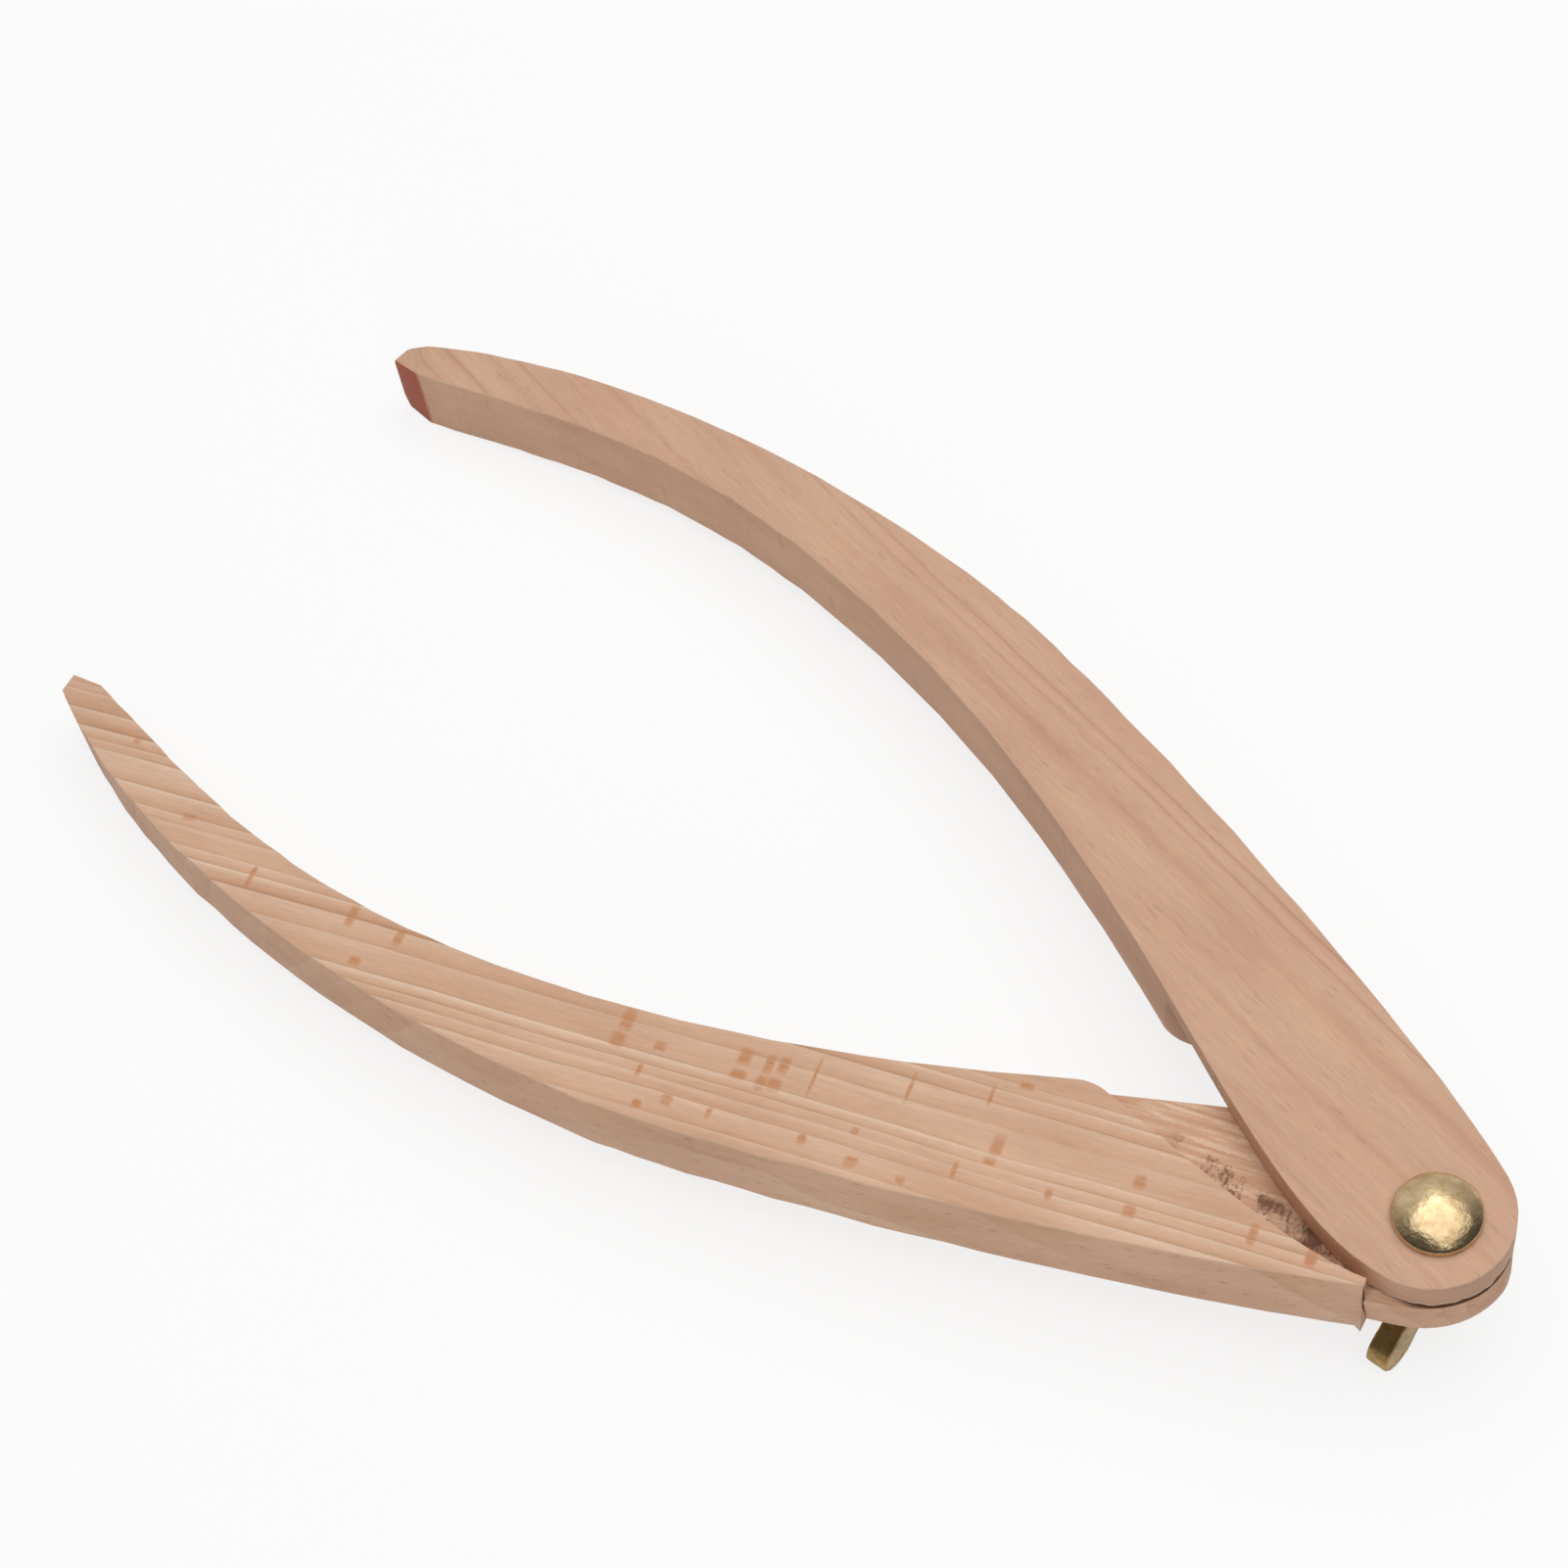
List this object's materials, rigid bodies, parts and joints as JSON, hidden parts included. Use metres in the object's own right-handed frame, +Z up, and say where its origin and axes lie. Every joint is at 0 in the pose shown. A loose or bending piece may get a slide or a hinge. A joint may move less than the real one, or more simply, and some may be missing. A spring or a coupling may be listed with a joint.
{
  "type": "wooden caliper",
  "caption": "Outside caliper with bowed beech legs on a half-lap hinge clamped by a brass carriage bolt and wing nut; its stained tips meet when shut.",
  "frame": {"origin": "on the hinge axis, in the plane of the legs' undersides", "axes": "+X from the hinge towards the tips, midway between the legs as they lie; +Z up along the hinge axis towards the bolt's head; the leg with the bottom half of the lap lies on the +Y side"},
  "size_m": [0.2513, 0.1196, 0.0315],
  "materials": {
    "lower_leg": "bare sanded beech, tip stained brick red",
    "upper_leg": "bare sanded beech, tip stained brick red",
    "carriage_bolt": "dull greenish brass plate",
    "washer": "dull brass plate",
    "wing_nut": "dull brass plate"
  },
  "bodies": {
    "lower_leg": {"lower_leg": "lower_leg"},
    "upper_leg": {"upper_leg": "upper_leg", "carriage_bolt": "carriage_bolt"},
    "washer": {"washer": "washer"},
    "wing_nut": {"wing_nut": "wing_nut"}
  },
  "joints": [
    {"name": "leg_hinge", "type": "hinge", "parent": "lower_leg", "child": "upper_leg", "pos_m": [0, 0, 0], "axis": [0, 0, -1], "range_deg": [-19.5, 160.5]},
    {"name": "washer_drop", "type": "slide", "parent": "lower_leg", "child": "washer", "axis": [0, 0, -1], "range_m": [0, 0.0033]},
    {"name": "nut_turn", "type": "hinge", "parent": "washer", "child": "wing_nut", "pos_m": [0, 0, 0], "axis": [0, 0, -1], "range_deg": [0, 1440]}
  ],
  "couplings": [
    {"joint": "washer_drop", "follows": "nut_turn", "m_per_rad": 0.00012732}
  ]
}
